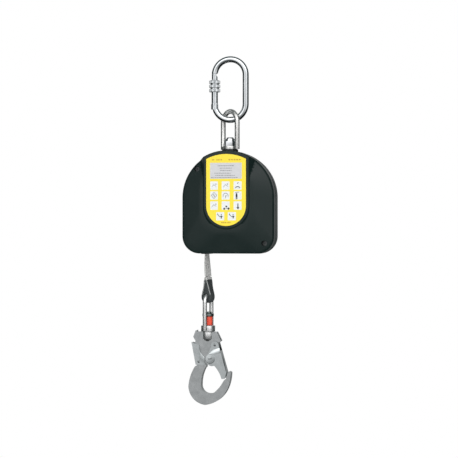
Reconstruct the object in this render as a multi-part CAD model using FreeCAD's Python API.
"""Self-retracting lifeline: a fall-arrest block that hangs from a carabiner, with its snap hook.

Millimetres, +Z up. X runs across the housing's face and Y runs from its front to its back.
The origin is the top of the opening of the carabiner, where an anchor carries it, and the
load path hangs straight down the Z axis from there.
"""
import FreeCAD
import Part
import math
import os

V = FreeCAD.Vector
X_AXIS = V(1, 0, 0)
Y_AXIS = V(0, 1, 0)
Z_AXIS = V(0, 0, 1)

# ---- driving dimensions -------------------------------------------------------------------

FIT = 0.05                    # radial gap of a running fit
GAP = 0.3                     # gap between bodies that move past each other
THROUGH = 60.0                # half length of a cutter that goes right through

# carabiner: oval, round steel bar
BAR_R = 5.0
OVAL_R = 25.5                 # centreline radius of the two end arcs
OVAL_TOP_Z = BAR_R - OVAL_R
OVAL_LENGTH = 47.0            # between the centres of the two arcs
OVAL_LOW_Z = OVAL_TOP_Z - OVAL_LENGTH
NOSE_LOW_Z = -27.6
GATE_PIN_Z = -71.0
FOOT_R = 6.0
LATCH_PIN_Z = -19.8
GATE_R = 5.2
GATE_TOP_Z = -28.0
TANG_T = 5.0                  # thickness of the gate's tang and of its nose key
SLEEVE_TOP_Z = -29.0
SLEEVE_H = 19.0
SLEEVE_R = 9.0
SLEEVE_GROOVES = (5.2, 12.0)  # heights of its two grooves
GROOVE_W = 1.8
GROOVE_DEPTH = 1.6
GATE_PIN_R = 1.6
GATE_PIN_HALF = 5.9           # half its length
LATCH_PIN_R = 1.2
LATCH_PIN_HALF = 4.4
LATCH_NOTCH_R = 2.0
KEY_TOP_Z = -17.9
KEY_HALF_W = 2.4
TANG_HALF_W = 4.6
TANG_TOP_Z = -60.0
SPRING_BORE = (2.2, -58.0, -44.0)  # radius, foot and top of the bore in the gate

# top bail, turned about the suspension axis, and its swivel
BAIL_R = 4.0
BAIL_HALF = 18.0              # half the spacing of its legs
BAIL_TURN = 40.5              # degrees, the right-hand leg comes to the front
BAIL_BOW_Z = -97.4
BRIDGE_TOP_Z = -136.0
BRIDGE_LOW_Z = -140.6
BOLT_R = 6.0
NUT_AF = 18.0
NUT_H = 8.5
BRIDGE_R = 12.0
BOLT_HEAD_R = 10.0
BOLT_HEAD_LOW_Z = -165.5
BOLT_HEAD_TOP_Z = -160.0
BOLT_TOP_Z = -122.5
WASHER_T = 1.4
BUSH_R = 8.5
BUSH_FLANGE_R = 11.0
BUSH_LOW_Z = -158.3
BUSH_TOP_Z = -148.1

# housing
CASE_X = 0.0                  # the housing's centre line
CASE_HALF_W = 75.0
CASE_ARCH_Z = -218.8          # centre of the arch
CASE_LOW_Z = -309.0
CASE_CORNER_R = 28.0
CASE_RIM_DEPTH = 22.0         # straight side wall of each shell
CASE_FRONT_DEPTH = 35.0
CASE_REAR_DEPTH = 33.0
WALL = 3.0
SEAL_HALF_T = 0.9
COLLAR_LOW_Z = -147.8
COLLAR_TOP_Z = -141.2
COLLAR_R = 13.0
PILLOW_HALF_W = 38.0
PILLOW_ARCH_Z = -206.8
PILLOW_LOW_Z = -272.0
PILLOW_CORNER_R = 36.0
PILLOW_DEPTH = 33.0
FIELD_HALF_W = 37.0           # raised field that frames the label
FIELD_TOP_R = 74.4
FIELD_SLOPE = 0.5             # its wall leans out by this much of its height
REAR_FLAT_HALF_W = 53.0
REAR_FLAT_LOW_Z = -289.0
REAR_FLAT_CORNER_R = 18.0
LABEL_HALF_W = 32.2
LABEL_LOW_Z = -232.4          # centre of the label's round lower end
LABEL_TOP_R = 69.0
LABEL_T = 1.0
LABEL_RECESS = 0.8
CASE_SCREWS = ((59.9, -292.5, 1), (-50.0, -172.9, 1), (-59.9, -292.5, -1), (50.0, -172.9, -1))
BOSS_R = 6.0
COUNTERBORE_R = 4.5
SCREW_R = 2.4
INSERT_R = 3.4
INSERT_LENGTH = 12.5
SCREW_SEAT = 14.0             # depth of a screw's seat from the parting line
SCREW_HEAD_R = 4.0
SCREW_HEAD_H = 4.0
SCREW_REACH = 11.0            # how far a screw passes the parting line
SCREW_SOCKET_AF = 3.0
SCREW_SOCKET_DEPTH = 2.4
SEAL_W = 1.6                  # its width inside the case's edge, and how far it stands proud
SEAL_PROUD = 0.3
MOUTH_HALF_X = 6.0            # opening for the webbing's guide
MOUTH_HALF_Y = 17.0
MOUTH_H = 11.0
GUIDE_SLOT = (2.6, 13.8)      # half width and half length of the guide's slot

# lifeline
LINE_X = -38.2                # where the webbing leaves the housing
HOOK_X = -36.4                # swivel axis of the hook
WEB_W = 25.0
WEB_T = 1.5
LOOP_TOP_Z = -346.0

# frame and drum
DRUM_X = -3.0
DRUM_Z = -216.0
PLATE_T = 2.5
PLATE_Y = 15.5                # inner face of each frame plate
FLANGE_R = 45.0
FLANGE_T = 1.8
FLANGE_Y = 13.2               # inner face of each drum flange
HUB_R = 14.0
SHAFT_R = 7.0
PACK_R = 34.4
BEARING_R = 13.0
BLOCK_HALF_W = 18.5
BLOCK_TOP_Z = -150.5
BLOCK_LOW_Z = -166.5
PLATE_R = 53.0
PLATE_FOOT_HALF_W = 48.0
PLATE_FOOT_Z = -285.0
FRAME_BOLT = (3.0, 10.0, 3.5)  # radius, across flats and height of head
BLOCK_BOLT = (2.5, 8.0, 3.0)
SPACER_R = 5.0
SHAFT_FRONT_Y = -28.0
SHAFT_BACK_Y = 29.0
CLIP_R = 9.0
CLIP_T = 1.2
ANCHOR_PIN_R = 2.0
ANCHOR_PIN_UP = 10.5          # height of the webbing's anchor pin above the drum's axis
FLANGE_HOLES = (6, 24.0, 4.5)  # number, circle and radius
SPACERS = ((-42.0, -277.0), (42.0, -277.0))
BLOCK_BOLTS = ((-15.2, -158.5), (15.2, -158.5))

# centrifugal lock and friction brake
TEETH = 12
RING_R = 33.0
RING_INNER_R = 25.5
TOOTH_DEPTH = 3.6
PAWL_PIN_R = 15.0             # radius at which the pawls are pinned to their carrier
BRAKE_BACK = -19.0            # front face of the front bearing's flange
PAWL_FRONT = -25.0
PAWL_BACK = -21.2
CARRIER_R = 21.5
PIN_R = 2.0                   # pawl pins and hook rivets
BRAKE_R = 36.4
BRAKE_BORE_R = 34.2
BRAKE_FLOOR = (-19.6, -18.0)
FRICTION_R = 33.0
FRICTION_INNER_R = 26.5
PRESSURE_Y = -26.4            # back face of the pressure plate
SPRING_Y = -27.4              # back face of the disc spring
BRAKE_NUT = (32.0, 27.0, -29.8, -28.3)

# power spring
SPRING_CUP_R = 45.5
SPRING_CUP_BORE_R = 43.5
SPRING_CUP_Y = 18.0
SPRING_COVER_Y = 29.0
SPRING_WALL = 0.9
SPIRAL_TURNS = 9
SPIRAL_STEPS = 24
SPIRAL_INNER_R = 10.5
SPIRAL_OUTER_R = 42.5
SPIRAL_T = 0.6
SPIRAL_Y = 19.6
SPIRAL_W = 7.6

# hook bail and swivel
HOOK_BAR_R = 3.4
HOOK_BOW_R = 13.2
HOOK_BAIL_TURN = 12.0
HOOK_BOW_Z = -388.6
EYE_TOP_Z = -426.0
EYE_LOW_Z = -435.2
EYE_R = 11.4
CUP_TOP_Z = -435.8
CUP_R = 9.0
CUP_LOW_Z = -452.0
CUP_ROUND = 4.0               # how far the cup narrows towards its foot
CUP_EDGE_Z = -447.0
STUD_R = 4.0
STUD_HEAD_R = 6.0
STUD_LOW_Z = -446.0
STUD_HEAD_Z = -406.5
STUD_TOP_Z = -403.5
STUD_WASHER_R = 9.3
INDICATOR_R = 6.9
INDICATOR_TOP_Z = -411.0
INDICATOR_LOW_Z = -425.4
BOW_TOP_Z = HOOK_BOW_Z + HOOK_BOW_R
LOOP_HOLE = (5.6, HOOK_BAR_R + GAP, BOW_TOP_Z, 0.05)  # the bow's passage in the loop
LOOP_OUTLINE = (7.4, 5.6, BOW_TOP_Z, 2.2)
SLEEVE_OUTLINE = (10.6, 8.4, BOW_TOP_Z, 3.4)

# snap hook
HOOK_T = 14.0                 # thickness of the hook's round end
SPINE_T = 11.0                # thickness of its head and spine
GATE_PIVOT = (-23.6, -456.9)
LEVER_PIVOT = (-50.6, -484.3)
CHEEK = (7.4, 9.2)            # inner and outer faces of the gate's cheeks
LEVER_CHEEK = (5.8, 7.1)
LEVER_POCKET = (3.5, 4.1)     # radius and depth of the pocket for the lever's spring


# ---- helpers ------------------------------------------------------------------------------

def cylinder(radius, low, high, axis=Z_AXIS, at=(0.0, 0.0)):
    """A cylinder along Z through (x, y) or along Y through (x, z)."""
    if axis is Z_AXIS:
        base = V(at[0], at[1], low)
    else:
        base = V(at[0], low, at[1])
    return Part.makeCylinder(radius, high - low, base, axis)


def tube(outer, inner, low, high, axis=Z_AXIS, at=(0.0, 0.0)):
    return cylinder(outer, low, high, axis, at).cut(cylinder(inner, low, high, axis, at))


def block(x, y, z):
    """A box from its ranges along the three axes."""
    return Part.makeBox(x[1] - x[0], y[1] - y[0], z[1] - z[0], V(x[0], y[0], z[0]))


def outline(start, *steps):
    """A closed wire in the XZ plane: a step of one point is a line, of two is an arc."""
    edges = []
    here = V(start[0], 0, start[1])
    first = here
    for step in steps:
        if isinstance(step[0], tuple):
            middle = V(step[0][0], 0, step[0][1])
            end = V(step[1][0], 0, step[1][1])
            edges.append(Part.Arc(here, middle, end).toShape())
        else:
            end = V(step[0], 0, step[1])
            edges.append(Part.LineSegment(here, end).toShape())
        here = end
    if here.distanceToPoint(first) > 1e-6:
        edges.append(Part.LineSegment(here, first).toShape())
    return Part.Wire(edges)


def extrude(wire, low, high):
    """The wire's face, extruded along Y from low to high."""
    face = Part.Face(wire)
    face.translate(V(0, low, 0))
    return face.extrude(V(0, high - low, 0))


def polygon(points, low, high):
    return extrude(outline(points[0], *points[1:]), low, high)


def moved(shape, x=0.0, y=0.0, z=0.0):
    copy = shape.copy()
    copy.translate(V(x, y, z))
    return copy


def turned(shape, degrees, axis=Z_AXIS, at=(0.0, 0.0)):
    """A copy turned about Z through (x, y) or about Y through (x, z)."""
    copy = shape.copy()
    centre = V(at[0], at[1], 0) if axis is Z_AXIS else V(at[0], 0, at[1])
    copy.rotate(centre, axis, degrees)
    return copy


def joined(first, *others):
    return first.fuse(list(others)).removeSplitter()


def group(shapes):
    return Part.makeCompound(shapes)


def bar_along(wire, radius):
    """A round bar swept along a wire, with its section square to the wire's start."""
    edge = wire.OrderedEdges[0]
    start = edge.valueAt(edge.FirstParameter)
    direction = edge.tangentAt(edge.FirstParameter)
    if wire.OrderedVertexes[0].Point.distanceToPoint(start) > 1e-6:
        start = edge.valueAt(edge.LastParameter)
        direction = edge.tangentAt(edge.LastParameter)
    section = Part.Wire(Part.makeCircle(radius, start, direction))
    return wire.makePipeShell([section], True, False)


def coil(radius, wire_r, length, turns, at, axis):
    """A helical spring that starts at a point and runs along an axis."""
    path = Part.makeHelix(length / turns, length, radius)
    section = Part.Wire(Part.makeCircle(wire_r, V(radius, 0, 0), Y_AXIS))
    spring = Part.Wire(path).makePipeShell([section], True, True)
    spring.Placement = FreeCAD.Placement(V(*at), FreeCAD.Rotation(Z_AXIS, axis))
    return spring


def hexagon(across_flats, low, high, axis=Z_AXIS, at=(0.0, 0.0)):
    radius = across_flats / math.sqrt(3)
    corners = [V(radius * math.cos(k * math.pi / 3), radius * math.sin(k * math.pi / 3), 0)
               for k in range(7)]
    prism = Part.Face(Part.makePolygon(corners)).extrude(V(0, 0, high - low))
    if axis is Z_AXIS:
        prism.translate(V(at[0], at[1], low))
    else:
        prism.rotate(V(0, 0, 0), X_AXIS, -90)
        prism.translate(V(at[0], low, at[1]))
    return prism


def drum_tube(outer, inner, low, high):
    return tube(outer, inner, low, high, Y_AXIS, (DRUM_X, DRUM_Z))


def drum_disc(radius, low, high):
    return cylinder(radius, low, high, Y_AXIS, (DRUM_X, DRUM_Z))


# ---- carabiner ----------------------------------------------------------------------------

def carabiner_body():
    """The bent bar, with a slotted nose above the gate and a forked foot below it."""
    edges = [
        Part.Arc(V(-OVAL_R, 0, OVAL_TOP_Z), V(0, 0, OVAL_TOP_Z + OVAL_R),
                 V(OVAL_R, 0, OVAL_TOP_Z)).toShape(),
        Part.LineSegment(V(OVAL_R, 0, OVAL_TOP_Z), V(OVAL_R, 0, OVAL_LOW_Z)).toShape(),
        Part.Arc(V(OVAL_R, 0, OVAL_LOW_Z), V(0, 0, OVAL_LOW_Z - OVAL_R),
                 V(-OVAL_R, 0, OVAL_LOW_Z)).toShape(),
    ]
    bar = bar_along(Part.Wire(edges), BAR_R)
    nose = cylinder(BAR_R, NOSE_LOW_Z, OVAL_TOP_Z + 1.0, Z_AXIS, (-OVAL_R, 0))
    foot = cylinder(FOOT_R, GATE_PIN_Z - 5.0, GATE_PIN_Z, Z_AXIS, (-OVAL_R, 0))
    dome = cylinder(FOOT_R, GATE_PIN_Z, GATE_PIN_Z + FOOT_R, Z_AXIS, (-OVAL_R, 0))
    dome = dome.common(cylinder(FOOT_R, -FOOT_R, FOOT_R, Y_AXIS, (-OVAL_R, GATE_PIN_Z)))
    body = joined(bar.cut(cylinder(9.0, GATE_PIN_Z, OVAL_LOW_Z + 3, Z_AXIS, (-OVAL_R, 0))),
                  nose, foot, dome)
    half_key = TANG_T / 2 + GAP
    inside = -OVAL_R + 8.0
    # the nose is slotted through for the gate's key, with a notch for its cross pin
    body = body.cut(block((-40, inside), (-half_key, half_key), (NOSE_LOW_Z - 1, KEY_TOP_Z + 0.9)))
    body = body.cut(cylinder(LATCH_NOTCH_R, -BAR_R - 1, BAR_R + 1, Y_AXIS,
                             (-OVAL_R, LATCH_PIN_Z)))
    body = body.cut(block((-OVAL_R, inside), (-BAR_R - 1, BAR_R + 1),
                          (LATCH_PIN_Z - LATCH_NOTCH_R, LATCH_PIN_Z + LATCH_NOTCH_R)))
    # the foot's fork holds the gate's tang
    body = body.cut(cylinder(8.0, -half_key, half_key, Y_AXIS, (-OVAL_R, GATE_PIN_Z)))
    return body.cut(cylinder(GATE_PIN_R, -THROUGH, THROUGH, Y_AXIS, (-OVAL_R, GATE_PIN_Z)))


def carabiner_gate():
    """The round gate, with a flat tang on its pivot and a flat key that enters the nose."""
    barrel = cylinder(GATE_R, GATE_PIN_Z, GATE_TOP_Z, Z_AXIS, (-OVAL_R, 0))
    pivot = (-OVAL_R, GATE_PIN_Z)
    barrel = barrel.cut(cylinder(FOOT_R + GAP, -THROUGH, THROUGH, Y_AXIS, pivot))
    half = TANG_T / 2
    tang = joined(block((-OVAL_R - TANG_HALF_W, -OVAL_R + TANG_HALF_W), (-half, half),
                        (GATE_PIN_Z, TANG_TOP_Z)),
                  cylinder(TANG_HALF_W, -half, half, Y_AXIS, pivot))
    key = block((-OVAL_R - KEY_HALF_W, -OVAL_R + KEY_HALF_W), (-half, half),
                (GATE_TOP_Z - 1, KEY_TOP_Z))
    gate = joined(barrel, tang, key)
    gate = gate.cut(cylinder(GATE_PIN_R + FIT, -THROUGH, THROUGH, Y_AXIS, pivot))
    gate = gate.cut(cylinder(LATCH_PIN_R, -THROUGH, THROUGH, Y_AXIS, (-OVAL_R, LATCH_PIN_Z)))
    return gate.cut(cylinder(*SPRING_BORE, Z_AXIS, (-OVAL_R, 0)))


def carabiner_gate_pin():
    """Rivet through the foot and the gate's tang, with its ends peened into the fork."""
    return cylinder(GATE_PIN_R, -GATE_PIN_HALF, GATE_PIN_HALF, Y_AXIS, (-OVAL_R, GATE_PIN_Z))


def carabiner_latch_pin():
    """Cross pin of the gate's key, which hooks into the slotted nose."""
    return cylinder(LATCH_PIN_R, -LATCH_PIN_HALF, LATCH_PIN_HALF, Y_AXIS,
                    (-OVAL_R, LATCH_PIN_Z))


def carabiner_lock_sleeve():
    """Screw sleeve: three knurled rings parted by two grooves."""
    low = SLEEVE_TOP_Z - SLEEVE_H
    sleeve = tube(SLEEVE_R, GATE_R + FIT, low, SLEEVE_TOP_Z, Z_AXIS, (-OVAL_R, 0))
    for level in SLEEVE_GROOVES:
        sleeve = sleeve.cut(tube(SLEEVE_R + 1, SLEEVE_R - GROOVE_DEPTH, low + level,
                                 low + level + GROOVE_W, Z_AXIS, (-OVAL_R, 0)))
    return sleeve


def carabiner_gate_spring():
    """Coil inside the gate, which pushes it shut."""
    return coil(1.5, 0.35, 12.0, 8, (-OVAL_R, 0, -57.0), Z_AXIS)


# ---- top bail and swivel ------------------------------------------------------------------

def top_bail():
    """Round bar bent to a bow, with its two legs welded into a pierced bridge plate."""
    legs_low = BRIDGE_LOW_Z
    bow = Part.Wire([
        Part.LineSegment(V(-BAIL_HALF, 0, legs_low), V(-BAIL_HALF, 0, BAIL_BOW_Z)).toShape(),
        Part.Arc(V(-BAIL_HALF, 0, BAIL_BOW_Z), V(0, 0, BAIL_BOW_Z + BAIL_HALF),
                 V(BAIL_HALF, 0, BAIL_BOW_Z)).toShape(),
        Part.LineSegment(V(BAIL_HALF, 0, BAIL_BOW_Z), V(BAIL_HALF, 0, legs_low)).toShape(),
    ])
    bar = bar_along(bow, BAIL_R)
    plate = block((-BAIL_HALF, BAIL_HALF), (-BAIL_R, BAIL_R), (BRIDGE_LOW_Z, BRIDGE_TOP_Z))
    eye = cylinder(BRIDGE_R, BRIDGE_LOW_Z, BRIDGE_TOP_Z)
    bail = joined(bar, plate, eye)
    bail = bail.cut(cylinder(BOLT_R, BRIDGE_LOW_Z - 1, BRIDGE_TOP_Z + 1))
    return turned(bail, -BAIL_TURN)


def swivel_bolt():
    """Bolt that hangs the frame from the bail: its head sits under the frame's top block."""
    head = cylinder(BOLT_HEAD_R, BOLT_HEAD_LOW_Z, BOLT_HEAD_TOP_Z)
    shank = cylinder(BOLT_R, BOLT_HEAD_TOP_Z, BOLT_TOP_Z)
    tip = Part.makeCone(BOLT_R, BOLT_R - 1.0, 1.0, V(0, 0, BOLT_TOP_Z), Z_AXIS)
    return joined(head, shank, tip)


def swivel_nut():
    """Self-locking nut: hexagon below, round collar above."""
    top = BRIDGE_TOP_Z + NUT_H
    hexagonal = hexagon(NUT_AF, BRIDGE_TOP_Z, top)
    bevel = Part.makeCone(NUT_AF / 2 + 4.0, NUT_AF / 2 - 0.4, 4.4, V(0, 0, top - 3.6), Z_AXIS)
    keep = joined(cylinder(NUT_AF, BRIDGE_TOP_Z, top - 3.6), bevel)
    collar = cylinder(NUT_AF / 2 - 0.9, top - 0.5, top + 3.4)
    nut = joined(hexagonal.common(keep), collar)
    return nut.cut(cylinder(BOLT_R, BRIDGE_TOP_Z - 1, top + 5)).removeSplitter()


def swivel_washer():
    """Hardened thrust washer between the bolt's head and the bush."""
    return tube(BOLT_HEAD_R, BOLT_R, BOLT_HEAD_TOP_Z, BOLT_HEAD_TOP_Z + WASHER_T)


def swivel_bush():
    """Flanged bronze bush in the frame's top block."""
    sleeve = tube(BUSH_R, BOLT_R + FIT, BUSH_LOW_Z, BUSH_TOP_Z)
    flange = tube(BUSH_FLANGE_R, BOLT_R + FIT, BLOCK_TOP_Z, BUSH_TOP_Z)
    return joined(sleeve, flange)


def top_collar():
    """Rubber collar that seals the bolt where it enters the housing."""
    return tube(COLLAR_R, BOLT_R + GAP, COLLAR_LOW_Z, COLLAR_TOP_Z)


# ---- housing ------------------------------------------------------------------------------

def case_outline(half_w, arch_z, low_z, corner_r):
    """Arch over straight sides with round lower corners, about the housing's centre line."""
    diagonal = math.sqrt(0.5)
    left, right = CASE_X - half_w, CASE_X + half_w
    inner = half_w - corner_r
    corner_z = low_z + corner_r
    lean = corner_r * diagonal
    return outline(
        (CASE_X - inner, low_z),
        (CASE_X + inner, low_z),
        ((CASE_X + inner + lean, corner_z - lean), (right, corner_z)),
        (right, arch_z),
        ((CASE_X + half_w * diagonal, arch_z + half_w * diagonal), (CASE_X, arch_z + half_w)),
        ((CASE_X - half_w * diagonal, arch_z + half_w * diagonal), (left, arch_z)),
        (left, corner_z),
        ((CASE_X - inner - lean, corner_z - lean), (CASE_X - inner, low_z)),
    )


def pillow(inset, rim_depth, top_depth, top_wire, side):
    """The shell's volume: a straight rim, then planes that slope to a smaller flat."""
    rim_wire = case_outline(CASE_HALF_W - inset, CASE_ARCH_Z, CASE_LOW_Z + inset,
                            CASE_CORNER_R - inset)
    rim = extrude(rim_wire, 0, side * (rim_depth - inset))
    low = rim_wire.copy()
    low.translate(V(0, side * (rim_depth - inset), 0))
    high = top_wire.copy()
    high.translate(V(0, side * (top_depth - inset), 0))
    return rim.fuse(Part.makeLoft([low, high], True, True))


def plateau_outline(half_w, top_r, low_z):
    """Straight sides between an arc that follows the arch and a round lower end."""
    shoulder = CASE_ARCH_Z + math.sqrt(top_r ** 2 - half_w ** 2)
    return outline(
        (CASE_X - half_w, low_z),
        ((CASE_X, low_z - half_w), (CASE_X + half_w, low_z)),
        (CASE_X + half_w, shoulder),
        ((CASE_X, CASE_ARCH_Z + top_r), (CASE_X - half_w, shoulder)),
    )


def front_volume(inset):
    flat = case_outline(PILLOW_HALF_W - inset, PILLOW_ARCH_Z, PILLOW_LOW_Z + inset,
                        PILLOW_CORNER_R - inset)
    shape = pillow(inset, CASE_RIM_DEPTH, PILLOW_DEPTH, flat, -1)
    face = plateau_outline(FIELD_HALF_W - inset, FIELD_TOP_R - inset, LABEL_LOW_Z)
    face.translate(V(0, -CASE_FRONT_DEPTH + inset, 0))
    foot_depth = CASE_RIM_DEPTH - WALL
    lean = FIELD_SLOPE * (CASE_FRONT_DEPTH - foot_depth)
    foot = plateau_outline(FIELD_HALF_W - inset + lean, FIELD_TOP_R - inset + lean, LABEL_LOW_Z)
    foot.translate(V(0, -foot_depth, 0))
    field = Part.makeLoft([face, foot], True, True)
    limit = extrude(case_outline(CASE_HALF_W - inset, CASE_ARCH_Z, CASE_LOW_Z + inset,
                                 CASE_CORNER_R - inset), -CASE_FRONT_DEPTH, 0)
    return shape.fuse(field.common(limit))


def rear_volume(inset):
    flat = case_outline(REAR_FLAT_HALF_W - inset, CASE_ARCH_Z, REAR_FLAT_LOW_Z + inset,
                        REAR_FLAT_CORNER_R)
    return pillow(inset, CASE_RIM_DEPTH, CASE_REAR_DEPTH, flat, 1)


def shell(volume, side):
    """Hollow shell with four screw bosses, the webbing slot and the hole for the swivel."""
    outer = volume(0)
    reach = sorted((0, side * THROUGH))
    bosses = [cylinder(BOSS_R, *reach, Y_AXIS, (CASE_X + x, z)) for x, z, _ in CASE_SCREWS]
    body = outer.cut(volume(WALL)).fuse([boss.common(outer) for boss in bosses])
    for x, z, from_front in CASE_SCREWS:
        at = (CASE_X + x, z)
        if from_front == -side:
            body = body.cut(cylinder(SCREW_R + GAP, -THROUGH, THROUGH, Y_AXIS, at))
            recess = sorted((side * SCREW_SEAT, side * THROUGH))
            body = body.cut(cylinder(COUNTERBORE_R, *recess, Y_AXIS, at))
        else:
            depth = sorted((-side, side * SCREW_SEAT))
            body = body.cut(cylinder(INSERT_R, *depth, Y_AXIS, at))
    body = body.cut(mouth()).cut(collar_hole())
    return body.cut(rim_gasket()).removeSplitter()


def mouth():
    """Room for the webbing's guide in the housing's lower edge."""
    return block((LINE_X - MOUTH_HALF_X, LINE_X + MOUTH_HALF_X), (-MOUTH_HALF_Y, MOUTH_HALF_Y),
                 (CASE_LOW_Z - MOUTH_H, CASE_LOW_Z + MOUTH_H))


def collar_hole():
    return cylinder(COLLAR_R, BOLT_HEAD_TOP_Z, BRIDGE_TOP_Z)


def front_shell():
    """Front cover with a raised field that frames the label."""
    label = plateau_outline(LABEL_HALF_W + 0.2, LABEL_TOP_R + 0.2, LABEL_LOW_Z)
    recess = extrude(label, -CASE_FRONT_DEPTH - 1, -CASE_FRONT_DEPTH + LABEL_RECESS)
    return shell(front_volume, -1).cut(recess)


def rear_shell():
    return shell(rear_volume, 1)


def rim_gasket():
    """Rubber band in the parting line, open where the webbing and the swivel pass."""
    outer = extrude(case_outline(CASE_HALF_W + SEAL_PROUD, CASE_ARCH_Z, CASE_LOW_Z - SEAL_PROUD,
                                 CASE_CORNER_R + SEAL_PROUD), -SEAL_HALF_T, SEAL_HALF_T)
    inner = extrude(case_outline(CASE_HALF_W - SEAL_W, CASE_ARCH_Z, CASE_LOW_Z + SEAL_W,
                                 CASE_CORNER_R - SEAL_W), -SEAL_HALF_T, SEAL_HALF_T)
    return outer.cut(inner).cut(mouth()).cut(collar_hole())


def label_plate():
    """Printed plate in the recess of the front cover."""
    front = -CASE_FRONT_DEPTH + LABEL_RECESS - LABEL_T
    return extrude(plateau_outline(LABEL_HALF_W, LABEL_TOP_R, LABEL_LOW_Z),
                   front, front + LABEL_T)


def housing_screws():
    """Four cap screws with hexagon sockets: two from the front, two from the back."""
    screws = []
    for x, z, from_front in CASE_SCREWS:
        side = -from_front
        at = (CASE_X + x, z)
        top = SCREW_SEAT + SCREW_HEAD_H
        head = sorted((side * top, side * SCREW_SEAT))
        shank = sorted((side * SCREW_SEAT, -side * SCREW_REACH))
        socket = sorted((side * (top + 1), side * (top - SCREW_SOCKET_DEPTH)))
        screw = joined(cylinder(SCREW_HEAD_R, *head, Y_AXIS, at),
                       cylinder(SCREW_R, *shank, Y_AXIS, at))
        screws.append(screw.cut(hexagon(SCREW_SOCKET_AF, *socket, Y_AXIS, at)))
    return group(screws)


def screw_inserts():
    """Threaded brass inserts that the housing screws enter."""
    inserts = []
    for x, z, from_front in CASE_SCREWS:
        span = sorted((from_front * 0.5, from_front * (0.5 + INSERT_LENGTH)))
        inserts.append(tube(INSERT_R, SCREW_R, *span, Y_AXIS, (CASE_X + x, z)))
    return group(inserts)


def line_guide():
    """Plastic mouth that the webbing leaves the housing through."""
    top = CASE_LOW_Z + MOUTH_H - 0.5
    half_x, half_y = MOUTH_HALF_X - 0.1, MOUTH_HALF_Y - 0.1
    slot_x, slot_y = GUIDE_SLOT
    body = block((LINE_X - half_x, LINE_X + half_x), (-half_y, half_y), (CASE_LOW_Z - 0.8, top))
    slot = block((LINE_X - slot_x, LINE_X + slot_x), (-slot_y, slot_y),
                 (CASE_LOW_Z - 2, top + 1))
    lip = block((LINE_X - MOUTH_HALF_X - 1, LINE_X + MOUTH_HALF_X + 1),
                (-MOUTH_HALF_Y - 1, MOUTH_HALF_Y + 1), (CASE_LOW_Z + WALL + 0.1, top))
    return joined(body, lip).cut(slot)


# ---- frame --------------------------------------------------------------------------------

def frame_plate(inner, side):
    """Steel side plate: carries a bearing, the top block and the lower spacers."""
    span = sorted((side * inner, side * (inner + PLATE_T)))
    disc = drum_disc(PLATE_R, *span)
    tab = block((-BLOCK_HALF_W, BLOCK_HALF_W), span, (DRUM_Z, BLOCK_TOP_Z))
    foot = block((DRUM_X - PLATE_FOOT_HALF_W, DRUM_X + PLATE_FOOT_HALF_W), span,
                 (PLATE_FOOT_Z, DRUM_Z))
    plate = joined(disc, tab, foot)
    plate = plate.cut(drum_disc(BEARING_R, -THROUGH, THROUGH))
    for x, z in SPACERS:
        plate = plate.cut(cylinder(FRAME_BOLT[0], -THROUGH, THROUGH, Y_AXIS, (DRUM_X + x, z)))
    for at in BLOCK_BOLTS:
        plate = plate.cut(cylinder(BLOCK_BOLT[0], -THROUGH, THROUGH, Y_AXIS, at))
    return plate


def frame_top_block():
    """Steel block between the side plates, bored for the swivel bolt."""
    body = block((-BLOCK_HALF_W, BLOCK_HALF_W), (-PLATE_Y, PLATE_Y),
                 (BLOCK_LOW_Z, BLOCK_TOP_Z))
    body = body.cut(cylinder(BUSH_R, BLOCK_LOW_Z - 1, BLOCK_TOP_Z + 1))
    body = body.cut(cylinder(BUSH_FLANGE_R, BLOCK_LOW_Z - 1, BUSH_LOW_Z))
    for at in BLOCK_BOLTS:
        body = body.cut(cylinder(BLOCK_BOLT[0], -THROUGH, THROUGH, Y_AXIS, at))
    return body


def frame_spacers():
    """Tubes that keep the side plates apart at their feet."""
    return group([tube(SPACER_R, FRAME_BOLT[0], -PLATE_Y, PLATE_Y, Y_AXIS, (DRUM_X + x, z))
                  for x, z in SPACERS])


def frame_bolts():
    """Bolts through the side plates, each with its nut."""
    bolts = []
    outer = PLATE_Y + PLATE_T
    places = [((DRUM_X + x, z), FRAME_BOLT) for x, z in SPACERS]
    places += [(at, BLOCK_BOLT) for at in BLOCK_BOLTS]
    for at, (radius, across_flats, height) in places:
        shank = cylinder(radius, -outer, outer, Y_AXIS, at)
        head = hexagon(across_flats, -outer - height, -outer, Y_AXIS, at)
        nut = hexagon(across_flats, outer, outer + height, Y_AXIS, at)
        bolts.append(joined(shank, head, nut))
    return group(bolts)


def drum_bearings():
    """Flanged plain bearings of the main shaft, one in each side plate."""
    bearings = []
    for side in (-1, 1):
        span = sorted((side * PLATE_Y, side * (PLATE_Y + PLATE_T + 1.0)))
        bearings.append(drum_tube(BEARING_R, SHAFT_R + FIT, *span))
    return group(bearings)


# ---- drum ---------------------------------------------------------------------------------

def main_shaft():
    """Shaft that turns with the drum; its back end is slotted for the power spring."""
    shaft = drum_disc(SHAFT_R, SHAFT_FRONT_Y, SHAFT_BACK_Y)
    slot = block((DRUM_X - 1, DRUM_X + 1), (SPIRAL_Y - 0.1, SHAFT_BACK_Y + 1),
                 (DRUM_Z - SHAFT_R - 1, DRUM_Z + SHAFT_R + 1))
    return shaft.cut(slot)


def drum_hub():
    """Aluminium hub that the webbing winds on, with an eye for its anchor pin."""
    hub = drum_tube(HUB_R, SHAFT_R, -FLANGE_Y, FLANGE_Y)
    return hub.cut(cylinder(ANCHOR_PIN_R, -THROUGH, THROUGH, Y_AXIS,
                            (DRUM_X, DRUM_Z + ANCHOR_PIN_UP)))


def webbing_anchor_pin():
    """Pin through the sewn eye at the inner end of the webbing."""
    return cylinder(ANCHOR_PIN_R, -FLANGE_Y, FLANGE_Y, Y_AXIS, (DRUM_X, DRUM_Z + ANCHOR_PIN_UP))


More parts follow.
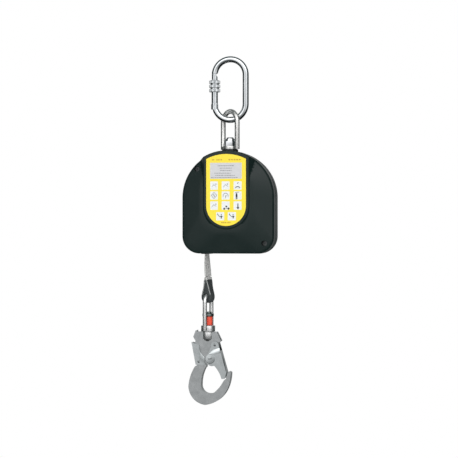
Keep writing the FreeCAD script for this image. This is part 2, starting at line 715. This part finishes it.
def drum_flange(side):
    """Side disc of the drum, lightened by six holes."""
    span = sorted((side * FLANGE_Y, side * (FLANGE_Y + FLANGE_T)))
    disc = drum_tube(FLANGE_R, SHAFT_R, *span)
    count, circle, radius = FLANGE_HOLES
    for k in range(count):
        angle = 2 * math.pi * k / count
        at = (DRUM_X + circle * math.cos(angle), DRUM_Z + circle * math.sin(angle))
        disc = disc.cut(cylinder(radius, -THROUGH, THROUGH, Y_AXIS, at))
    return disc


def webbing_pack():
    """The wound webbing: a full drum of about two metres."""
    return drum_tube(PACK_R, HUB_R, -WEB_W / 2, WEB_W / 2)


def shaft_clips():
    """Retaining rings at the two ends of the main shaft."""
    return group([drum_tube(CLIP_R, SHAFT_R, SHAFT_FRONT_Y, SHAFT_FRONT_Y + CLIP_T),
                  drum_tube(CLIP_R, SHAFT_R, SHAFT_BACK_Y - CLIP_T, SHAFT_BACK_Y)])


# ---- lock and brake -----------------------------------------------------------------------

def pawl_carrier():
    """Disc on the shaft that carries the two pawls."""
    return drum_tube(CARRIER_R, SHAFT_R, PAWL_BACK + 0.2, BRAKE_BACK - GAP)


def pawl_pin_place(index):
    angle = math.radians(90 + 180 * index)
    return (DRUM_X + PAWL_PIN_R * math.cos(angle), DRUM_Z + PAWL_PIN_R * math.sin(angle))


def pawl_pins():
    """Shouldered pins that the pawls rock on."""
    return group([cylinder(PIN_R, PAWL_FRONT - 0.6, PAWL_BACK + 0.2, Y_AXIS, pawl_pin_place(k))
                  for k in range(2)])


def pawl(index):
    """Weighted pawl: its heel flies out and its toe drops into the ratchet ring."""
    pin_x, pin_z = DRUM_X, DRUM_Z + PAWL_PIN_R
    body = polygon([(pin_x - 4, pin_z - 4.5), (pin_x + 10, pin_z - 6.5),
                    (pin_x + 16, pin_z - 4.0), (pin_x + 16.5, pin_z + 0.2),
                    (pin_x + 6, pin_z + 4.2), (pin_x - 4, pin_z + 4.2)],
                   PAWL_FRONT, PAWL_BACK)
    body = body.common(drum_disc(RING_INNER_R - 1.9, -THROUGH, THROUGH))
    body = body.cut(drum_disc(CLIP_R + 0.6, -THROUGH, THROUGH))
    body = body.cut(cylinder(PIN_R + FIT, -THROUGH, THROUGH, Y_AXIS, (pin_x, pin_z)))
    return turned(body, 180 * index, Y_AXIS, (DRUM_X, DRUM_Z))


def pawl_springs():
    """Small coils that hold the pawls in while the drum turns slowly."""
    springs = []
    for k in range(2):
        one = coil(1.2, 0.3, 5.0, 5, (DRUM_X - 15.5, -23.0, DRUM_Z + 12.0), X_AXIS)
        springs.append(turned(one, 180 * k, Y_AXIS, (DRUM_X, DRUM_Z)))
    return group(springs)


def ratchet_ring():
    """Ring with inner teeth that the pawls catch; it slips between the friction discs."""
    ring = drum_tube(RING_R, RING_INNER_R, PAWL_FRONT, PAWL_BACK)
    tooth = polygon([(DRUM_X - 2.2, DRUM_Z + RING_INNER_R + 0.6),
                     (DRUM_X + 0.6, DRUM_Z + RING_INNER_R + 0.6),
                     (DRUM_X + 0.6, DRUM_Z + RING_INNER_R - 1.3)],
                    PAWL_FRONT, PAWL_BACK)
    teeth = [turned(tooth, 360.0 * k / TEETH, Y_AXIS, (DRUM_X, DRUM_Z))
             for k in range(TEETH)]
    return joined(ring, *teeth)


def brake_housing():
    """Steel cup on the front plate that holds the friction pack."""
    cup = drum_tube(BRAKE_R, BRAKE_BORE_R, -28.5, BRAKE_FLOOR[1])
    floor = drum_tube(BRAKE_R, FRICTION_INNER_R, *BRAKE_FLOOR)
    return joined(cup, floor)


def friction_discs():
    """Two friction rings, one each side of the ratchet ring."""
    return group([drum_tube(FRICTION_R, FRICTION_INNER_R, PAWL_BACK, BRAKE_FLOOR[0]),
                  drum_tube(FRICTION_R, FRICTION_INNER_R, PRESSURE_Y, PAWL_FRONT)])


def pressure_plate():
    return drum_tube(FRICTION_R + 0.5, FRICTION_INNER_R, SPRING_Y, PRESSURE_Y)


def disc_spring():
    """Conical spring ring that loads the brake."""
    outer = Part.makeCone(FRICTION_R, FRICTION_R - 3.0, 0.9, V(DRUM_X, SPRING_Y, DRUM_Z),
                          V(0, -1, 0))
    return outer.cut(drum_disc(BRAKE_NUT[1], -THROUGH, 0))


def brake_nut():
    """Slotted ring nut that sets the load on the brake."""
    nut = drum_tube(*BRAKE_NUT)
    for k in range(4):
        notch = block((DRUM_X - 2, DRUM_X + 2), (-31, -28), (DRUM_Z + 30, DRUM_Z + 36))
        nut = nut.cut(turned(notch, 90 * k, Y_AXIS, (DRUM_X, DRUM_Z)))
    return nut


# ---- power spring -------------------------------------------------------------------------

def spring_cup():
    """Plastic cup on the back plate around the power spring."""
    wall = drum_tube(SPRING_CUP_R, SPRING_CUP_BORE_R, SPRING_CUP_Y, SPRING_COVER_Y)
    floor = drum_tube(SPRING_CUP_R, BEARING_R + 0.6, SPRING_CUP_Y, SPRING_CUP_Y + SPRING_WALL)
    return joined(wall, floor)


def power_spring():
    """Spiral of flat steel between the cup's wall and the shaft's slot."""
    count = SPIRAL_TURNS * SPIRAL_STEPS

    def spiral(k, inset):
        angle = 2 * math.pi * k / SPIRAL_STEPS
        radius = SPIRAL_INNER_R - inset + (SPIRAL_OUTER_R - SPIRAL_INNER_R) * k / count
        return V(DRUM_X + radius * math.cos(angle), 0, DRUM_Z + radius * math.sin(angle))

    points = [spiral(k, 0.0) for k in range(count + 1)]
    back = [spiral(k, SPIRAL_T) for k in range(count, -1, -1)]
    one = Part.BSplineCurve()
    one.interpolate(points)
    two = Part.BSplineCurve()
    two.interpolate(back)
    wire = Part.Wire([one.toShape(), Part.LineSegment(points[-1], back[0]).toShape(),
                      two.toShape(), Part.LineSegment(back[-1], points[0]).toShape()])
    face = Part.Face(wire)
    face.translate(V(0, SPIRAL_Y, 0))
    return face.extrude(V(0, SPIRAL_W, 0))


def spring_cover():
    """Lid of the spring cup."""
    return drum_tube(SPRING_CUP_R, CLIP_R + 1.0, SPRING_COVER_Y, SPRING_COVER_Y + SPRING_WALL)


# ---- webbing ------------------------------------------------------------------------------

def webbing_strap():
    """Flat webbing from the drum's tangent, out through the guide, to the sewn loop."""
    half = WEB_T / 2
    points = [(LINE_X - half, DRUM_Z), (LINE_X + half, DRUM_Z),
              (LINE_X + half, CASE_LOW_Z), (HOOK_X + 2 * half, LOOP_TOP_Z),
              (HOOK_X - 2 * half, LOOP_TOP_Z), (LINE_X - half, CASE_LOW_Z)]
    return polygon(points, -WEB_W / 2, WEB_W / 2)


def teardrop(width, low_r, low_z, top_half):
    """Outline of a loop round the hook's bow: a round foot that closes to a narrow top."""
    return outline(
        (HOOK_X - top_half, LOOP_TOP_Z),
        (HOOK_X - width, low_z),
        ((HOOK_X, low_z - low_r), (HOOK_X + width, low_z)),
        (HOOK_X + top_half, LOOP_TOP_Z),
    )


def saddle(wire_outer, wire_inner):
    """A loop's section swept round the bow's centre, trimmed to the webbing's width."""
    centre = V(HOOK_X, 0, HOOK_BOW_Z)
    face = Part.Face(wire_outer)
    face.rotate(centre, X_AXIS, -45)
    swept = face.revolve(centre, X_AXIS, 90)
    inner = Part.Face(wire_inner)
    inner.rotate(centre, X_AXIS, -60)
    hole = inner.revolve(centre, X_AXIS, 120)
    taper = Part.Face(Part.makePolygon([
        V(HOOK_X - 20, -13.2, LOOP_TOP_Z), V(HOOK_X - 20, 13.2, LOOP_TOP_Z),
        V(HOOK_X - 20, 7.2, -374), V(HOOK_X - 20, 7.2, -392),
        V(HOOK_X - 20, -7.2, -392), V(HOOK_X - 20, -7.2, -374),
        V(HOOK_X - 20, -13.2, LOOP_TOP_Z)])).extrude(V(40, 0, 0))
    return turned(swept.cut(hole).common(taper), -HOOK_BAIL_TURN, Z_AXIS, (HOOK_X, 0))


def webbing_loop():
    """Sewn eye of the webbing round the hook's bow."""
    return saddle(teardrop(*LOOP_OUTLINE), teardrop(*LOOP_HOLE))


def loop_sleeve():
    """Black wear sleeve over the sewn eye."""
    return saddle(teardrop(*SLEEVE_OUTLINE), teardrop(*LOOP_OUTLINE))


# ---- hook bail and swivel -----------------------------------------------------------------

def hook_bail():
    """Small bow that hangs in the webbing's loop, forged in one with its swivel eye."""
    legs_low = EYE_TOP_Z - 3
    bow = Part.Wire([
        Part.LineSegment(V(0, -HOOK_BOW_R, legs_low), V(0, -HOOK_BOW_R, HOOK_BOW_Z)).toShape(),
        Part.Arc(V(0, -HOOK_BOW_R, HOOK_BOW_Z), V(0, 0, HOOK_BOW_Z + HOOK_BOW_R),
                 V(0, HOOK_BOW_R, HOOK_BOW_Z)).toShape(),
        Part.LineSegment(V(0, HOOK_BOW_R, HOOK_BOW_Z), V(0, HOOK_BOW_R, legs_low)).toShape(),
    ])
    eye = cylinder(EYE_R, EYE_LOW_Z, EYE_TOP_Z)
    feet = [cylinder(HOOK_BAR_R, EYE_LOW_Z + 1.5, legs_low, Z_AXIS, (0, side * HOOK_BOW_R))
            for side in (-1, 1)]
    bail = joined(bar_along(bow, HOOK_BAR_R), eye, *feet)
    bail = bail.cut(cylinder(STUD_R + FIT, EYE_LOW_Z - 1, EYE_TOP_Z + 1))
    return moved(turned(bail, -HOOK_BAIL_TURN), HOOK_X)


def swivel_stud():
    """Headed stud that carries the hook in the bail's eye."""
    head = cylinder(STUD_HEAD_R, STUD_HEAD_Z, STUD_TOP_Z)
    shank = cylinder(STUD_R, STUD_LOW_Z, STUD_HEAD_Z)
    return moved(joined(shank, head), HOOK_X)


def stud_washer():
    return moved(tube(STUD_WASHER_R, STUD_R, INDICATOR_TOP_Z, STUD_HEAD_Z), HOOK_X)


def load_indicator_sleeve():
    """Red sleeve that shows once the hook has been overloaded."""
    return moved(tube(INDICATOR_R, STUD_R, INDICATOR_LOW_Z, INDICATOR_TOP_Z), HOOK_X)


def swivel_cup():
    """Round socket of the swivel, seated in the notch of the hook's head."""
    cup = joined(cylinder(CUP_R, CUP_EDGE_Z, CUP_TOP_Z), cup_foot())
    return moved(cup.cut(cylinder(STUD_R, STUD_LOW_Z, CUP_TOP_Z + 1)), HOOK_X)


def cup_foot():
    return Part.makeCone(CUP_R - CUP_ROUND, CUP_R, CUP_EDGE_Z - CUP_LOW_Z, V(0, 0, CUP_LOW_Z),
                         Z_AXIS)


# ---- snap hook ----------------------------------------------------------------------------

def hook_c():
    """Round end of the hook: an egg-shaped opening inside a wide bow."""
    outer = outline(
        (-56.6, -491.5), ((-64.3, -507.5), (-67.7, -524.5)),
        ((-59.5, -544.5), (-40.0, -554.2)), ((-18.5, -546.0), (-3.5, -528.0)),
        ((0.6, -516.0), (2.3, -503.5)), ((0.8, -499.9), (-2.6, -500.6)),
        (-5.6, -511.0), (-9.6, -514.5),
        ((-16.5, -525.2), (-26.0, -534.4)), ((-41.0, -533.6), (-46.6, -520.0)),
        ((-44.6, -505.5), (-38.4, -491.5)),
    )
    return extrude(outer, -HOOK_T / 2, HOOK_T / 2)


def hook_body():
    """Forged body: head with a notch for the swivel, spine, and the round end with its tip."""
    head = polygon([(-56.2, -434.0), (-53.9, -433.2), (-53.7, -436.0), (-20.9, -436.0),
                    (-13.9, -450.2), (-17.5, -453.0), (-18.5, -461.5), (-27.5, -463.0),
                    (-37.5, -476.0), (-38.5, -486.0), (-37.9, -493.0), (-54.0, -493.0),
                    (-54.0, -487.0), (-54.4, -484.6), (-56.7, -453.0), (-56.4, -450.5),
                    (-60.0, -444.5)],
                   -SPINE_T / 2, SPINE_T / 2)
    body = joined(head, hook_c())
    notch = joined(cylinder(CUP_R, CUP_EDGE_Z, CUP_TOP_Z + 6), cup_foot())
    body = body.cut(moved(notch, HOOK_X))
    for pivot in (GATE_PIVOT, LEVER_PIVOT):
        body = body.cut(cylinder(PIN_R, -THROUGH, THROUGH, Y_AXIS, pivot))
    radius, depth = LEVER_POCKET
    return body.cut(cylinder(radius, -SPINE_T, -depth, Y_AXIS, LEVER_PIVOT))


def cheeks(wire, inner, thickness):
    """Two equal plates, one each side of the hook's middle plane."""
    return [extrude(wire, inner, inner + thickness), extrude(wire, -inner - thickness, -inner)]


def hook_gate():
    """Folded gate: two cheeks joined by a web along the outer edge."""
    wire = outline(
        (-29.2, -459.5), ((-23.6, -450.9), (-17.6, -456.0)),
        (-4.6, -501.5), (-7.6, -511.3), (-12.6, -511.6),
        ((-16.8, -501.0), (-24.6, -490.4)),
        ((-38.6, -483.5), (-36.0, -472.5)))
    inner, outer = CHEEK
    gate = cheeks(wire, inner, outer - inner)
    web = polygon([(-14.74, -466.0), (-4.6, -501.5), (-6.8, -502.1), (-17.0, -466.6)],
                  -outer, outer)
    gate = joined(web, *gate)
    return gate.cut(cylinder(PIN_R + FIT, -THROUGH, THROUGH, Y_AXIS, GATE_PIVOT))


def lock_lever():
    """Thumb lever: a channel that wraps the spine and frees the gate when squeezed."""
    wire = outline((-62.6, -453.0), (-50.6, -456.5), (-47.9, -468.8), (-41.0, -476.8),
                   (-40.0, -489.4), (-55.7, -489.4))
    inner, outer = LEVER_CHEEK
    lever = cheeks(wire, inner, outer - inner)
    back = polygon([(-62.6, -453.0), (-60.9, -453.4), (-54.2, -487.4), (-55.7, -489.4)],
                   -outer, outer)
    lever = joined(back, *lever)
    return lever.cut(cylinder(PIN_R + FIT, -THROUGH, THROUGH, Y_AXIS, LEVER_PIVOT))


def gate_spring():
    """Torsion coil round the gate's rivet, between the head and the front cheek."""
    return coil(3.0, 0.4, 0.85, 1, (GATE_PIVOT[0], -6.9, GATE_PIVOT[1]), Y_AXIS)


def lever_spring():
    """Torsion coil round the lever's rivet, in a pocket of the spine."""
    return coil(2.75, 0.35, 0.6, 1, (LEVER_PIVOT[0], -5.1, LEVER_PIVOT[1]), Y_AXIS)


def hook_rivets():
    """Pivot rivets of the gate and of the lever; each end stands 0.4 mm proud."""
    ends = ((GATE_PIVOT, CHEEK[1] + 0.4), (LEVER_PIVOT, LEVER_CHEEK[1] + 0.4))
    return group([cylinder(PIN_R, -end, end, Y_AXIS, pivot) for pivot, end in ends])


PARTS = {
    "carabiner_body": carabiner_body,
    "carabiner_gate": carabiner_gate,
    "carabiner_gate_pin": carabiner_gate_pin,
    "carabiner_latch_pin": carabiner_latch_pin,
    "carabiner_lock_sleeve": carabiner_lock_sleeve,
    "carabiner_gate_spring": carabiner_gate_spring,
    "top_bail": top_bail,
    "swivel_bolt": swivel_bolt,
    "swivel_nut": swivel_nut,
    "swivel_washer": swivel_washer,
    "swivel_bush": swivel_bush,
    "top_collar": top_collar,
    "front_shell": front_shell,
    "rear_shell": rear_shell,
    "rim_gasket": rim_gasket,
    "label_plate": label_plate,
    "housing_screws": housing_screws,
    "screw_inserts": screw_inserts,
    "line_guide": line_guide,
    "frame_front_plate": lambda: frame_plate(PLATE_Y, -1),
    "frame_rear_plate": lambda: frame_plate(PLATE_Y, 1),
    "frame_top_block": frame_top_block,
    "frame_spacers": frame_spacers,
    "frame_bolts": frame_bolts,
    "drum_bearings": drum_bearings,
    "main_shaft": main_shaft,
    "shaft_clips": shaft_clips,
    "drum_hub": drum_hub,
    "webbing_anchor_pin": webbing_anchor_pin,
    "drum_front_flange": lambda: drum_flange(-1),
    "drum_rear_flange": lambda: drum_flange(1),
    "webbing_pack": webbing_pack,
    "pawl_carrier": pawl_carrier,
    "pawl_pins": pawl_pins,
    "pawl_a": lambda: pawl(0),
    "pawl_b": lambda: pawl(1),
    "pawl_springs": pawl_springs,
    "ratchet_ring": ratchet_ring,
    "brake_housing": brake_housing,
    "friction_discs": friction_discs,
    "pressure_plate": pressure_plate,
    "disc_spring": disc_spring,
    "brake_nut": brake_nut,
    "spring_cup": spring_cup,
    "power_spring": power_spring,
    "spring_cover": spring_cover,
    "webbing_strap": webbing_strap,
    "webbing_loop": webbing_loop,
    "loop_sleeve": loop_sleeve,
    "hook_bail": hook_bail,
    "swivel_stud": swivel_stud,
    "stud_washer": stud_washer,
    "load_indicator_sleeve": load_indicator_sleeve,
    "swivel_cup": swivel_cup,
    "hook_body": hook_body,
    "hook_gate": hook_gate,
    "lock_lever": lock_lever,
    "gate_spring": gate_spring,
    "lever_spring": lever_spring,
    "hook_rivets": hook_rivets,
}

os.makedirs("parts", exist_ok=True)
for name, build in PARTS.items():
    shape = build()
    volume = shape.Volume
    print(f"{name:24} solids {len(shape.Solids)} volume {volume:10.1f} valid {shape.isValid()}")
    shape.exportStep(f"parts/{name}.step")
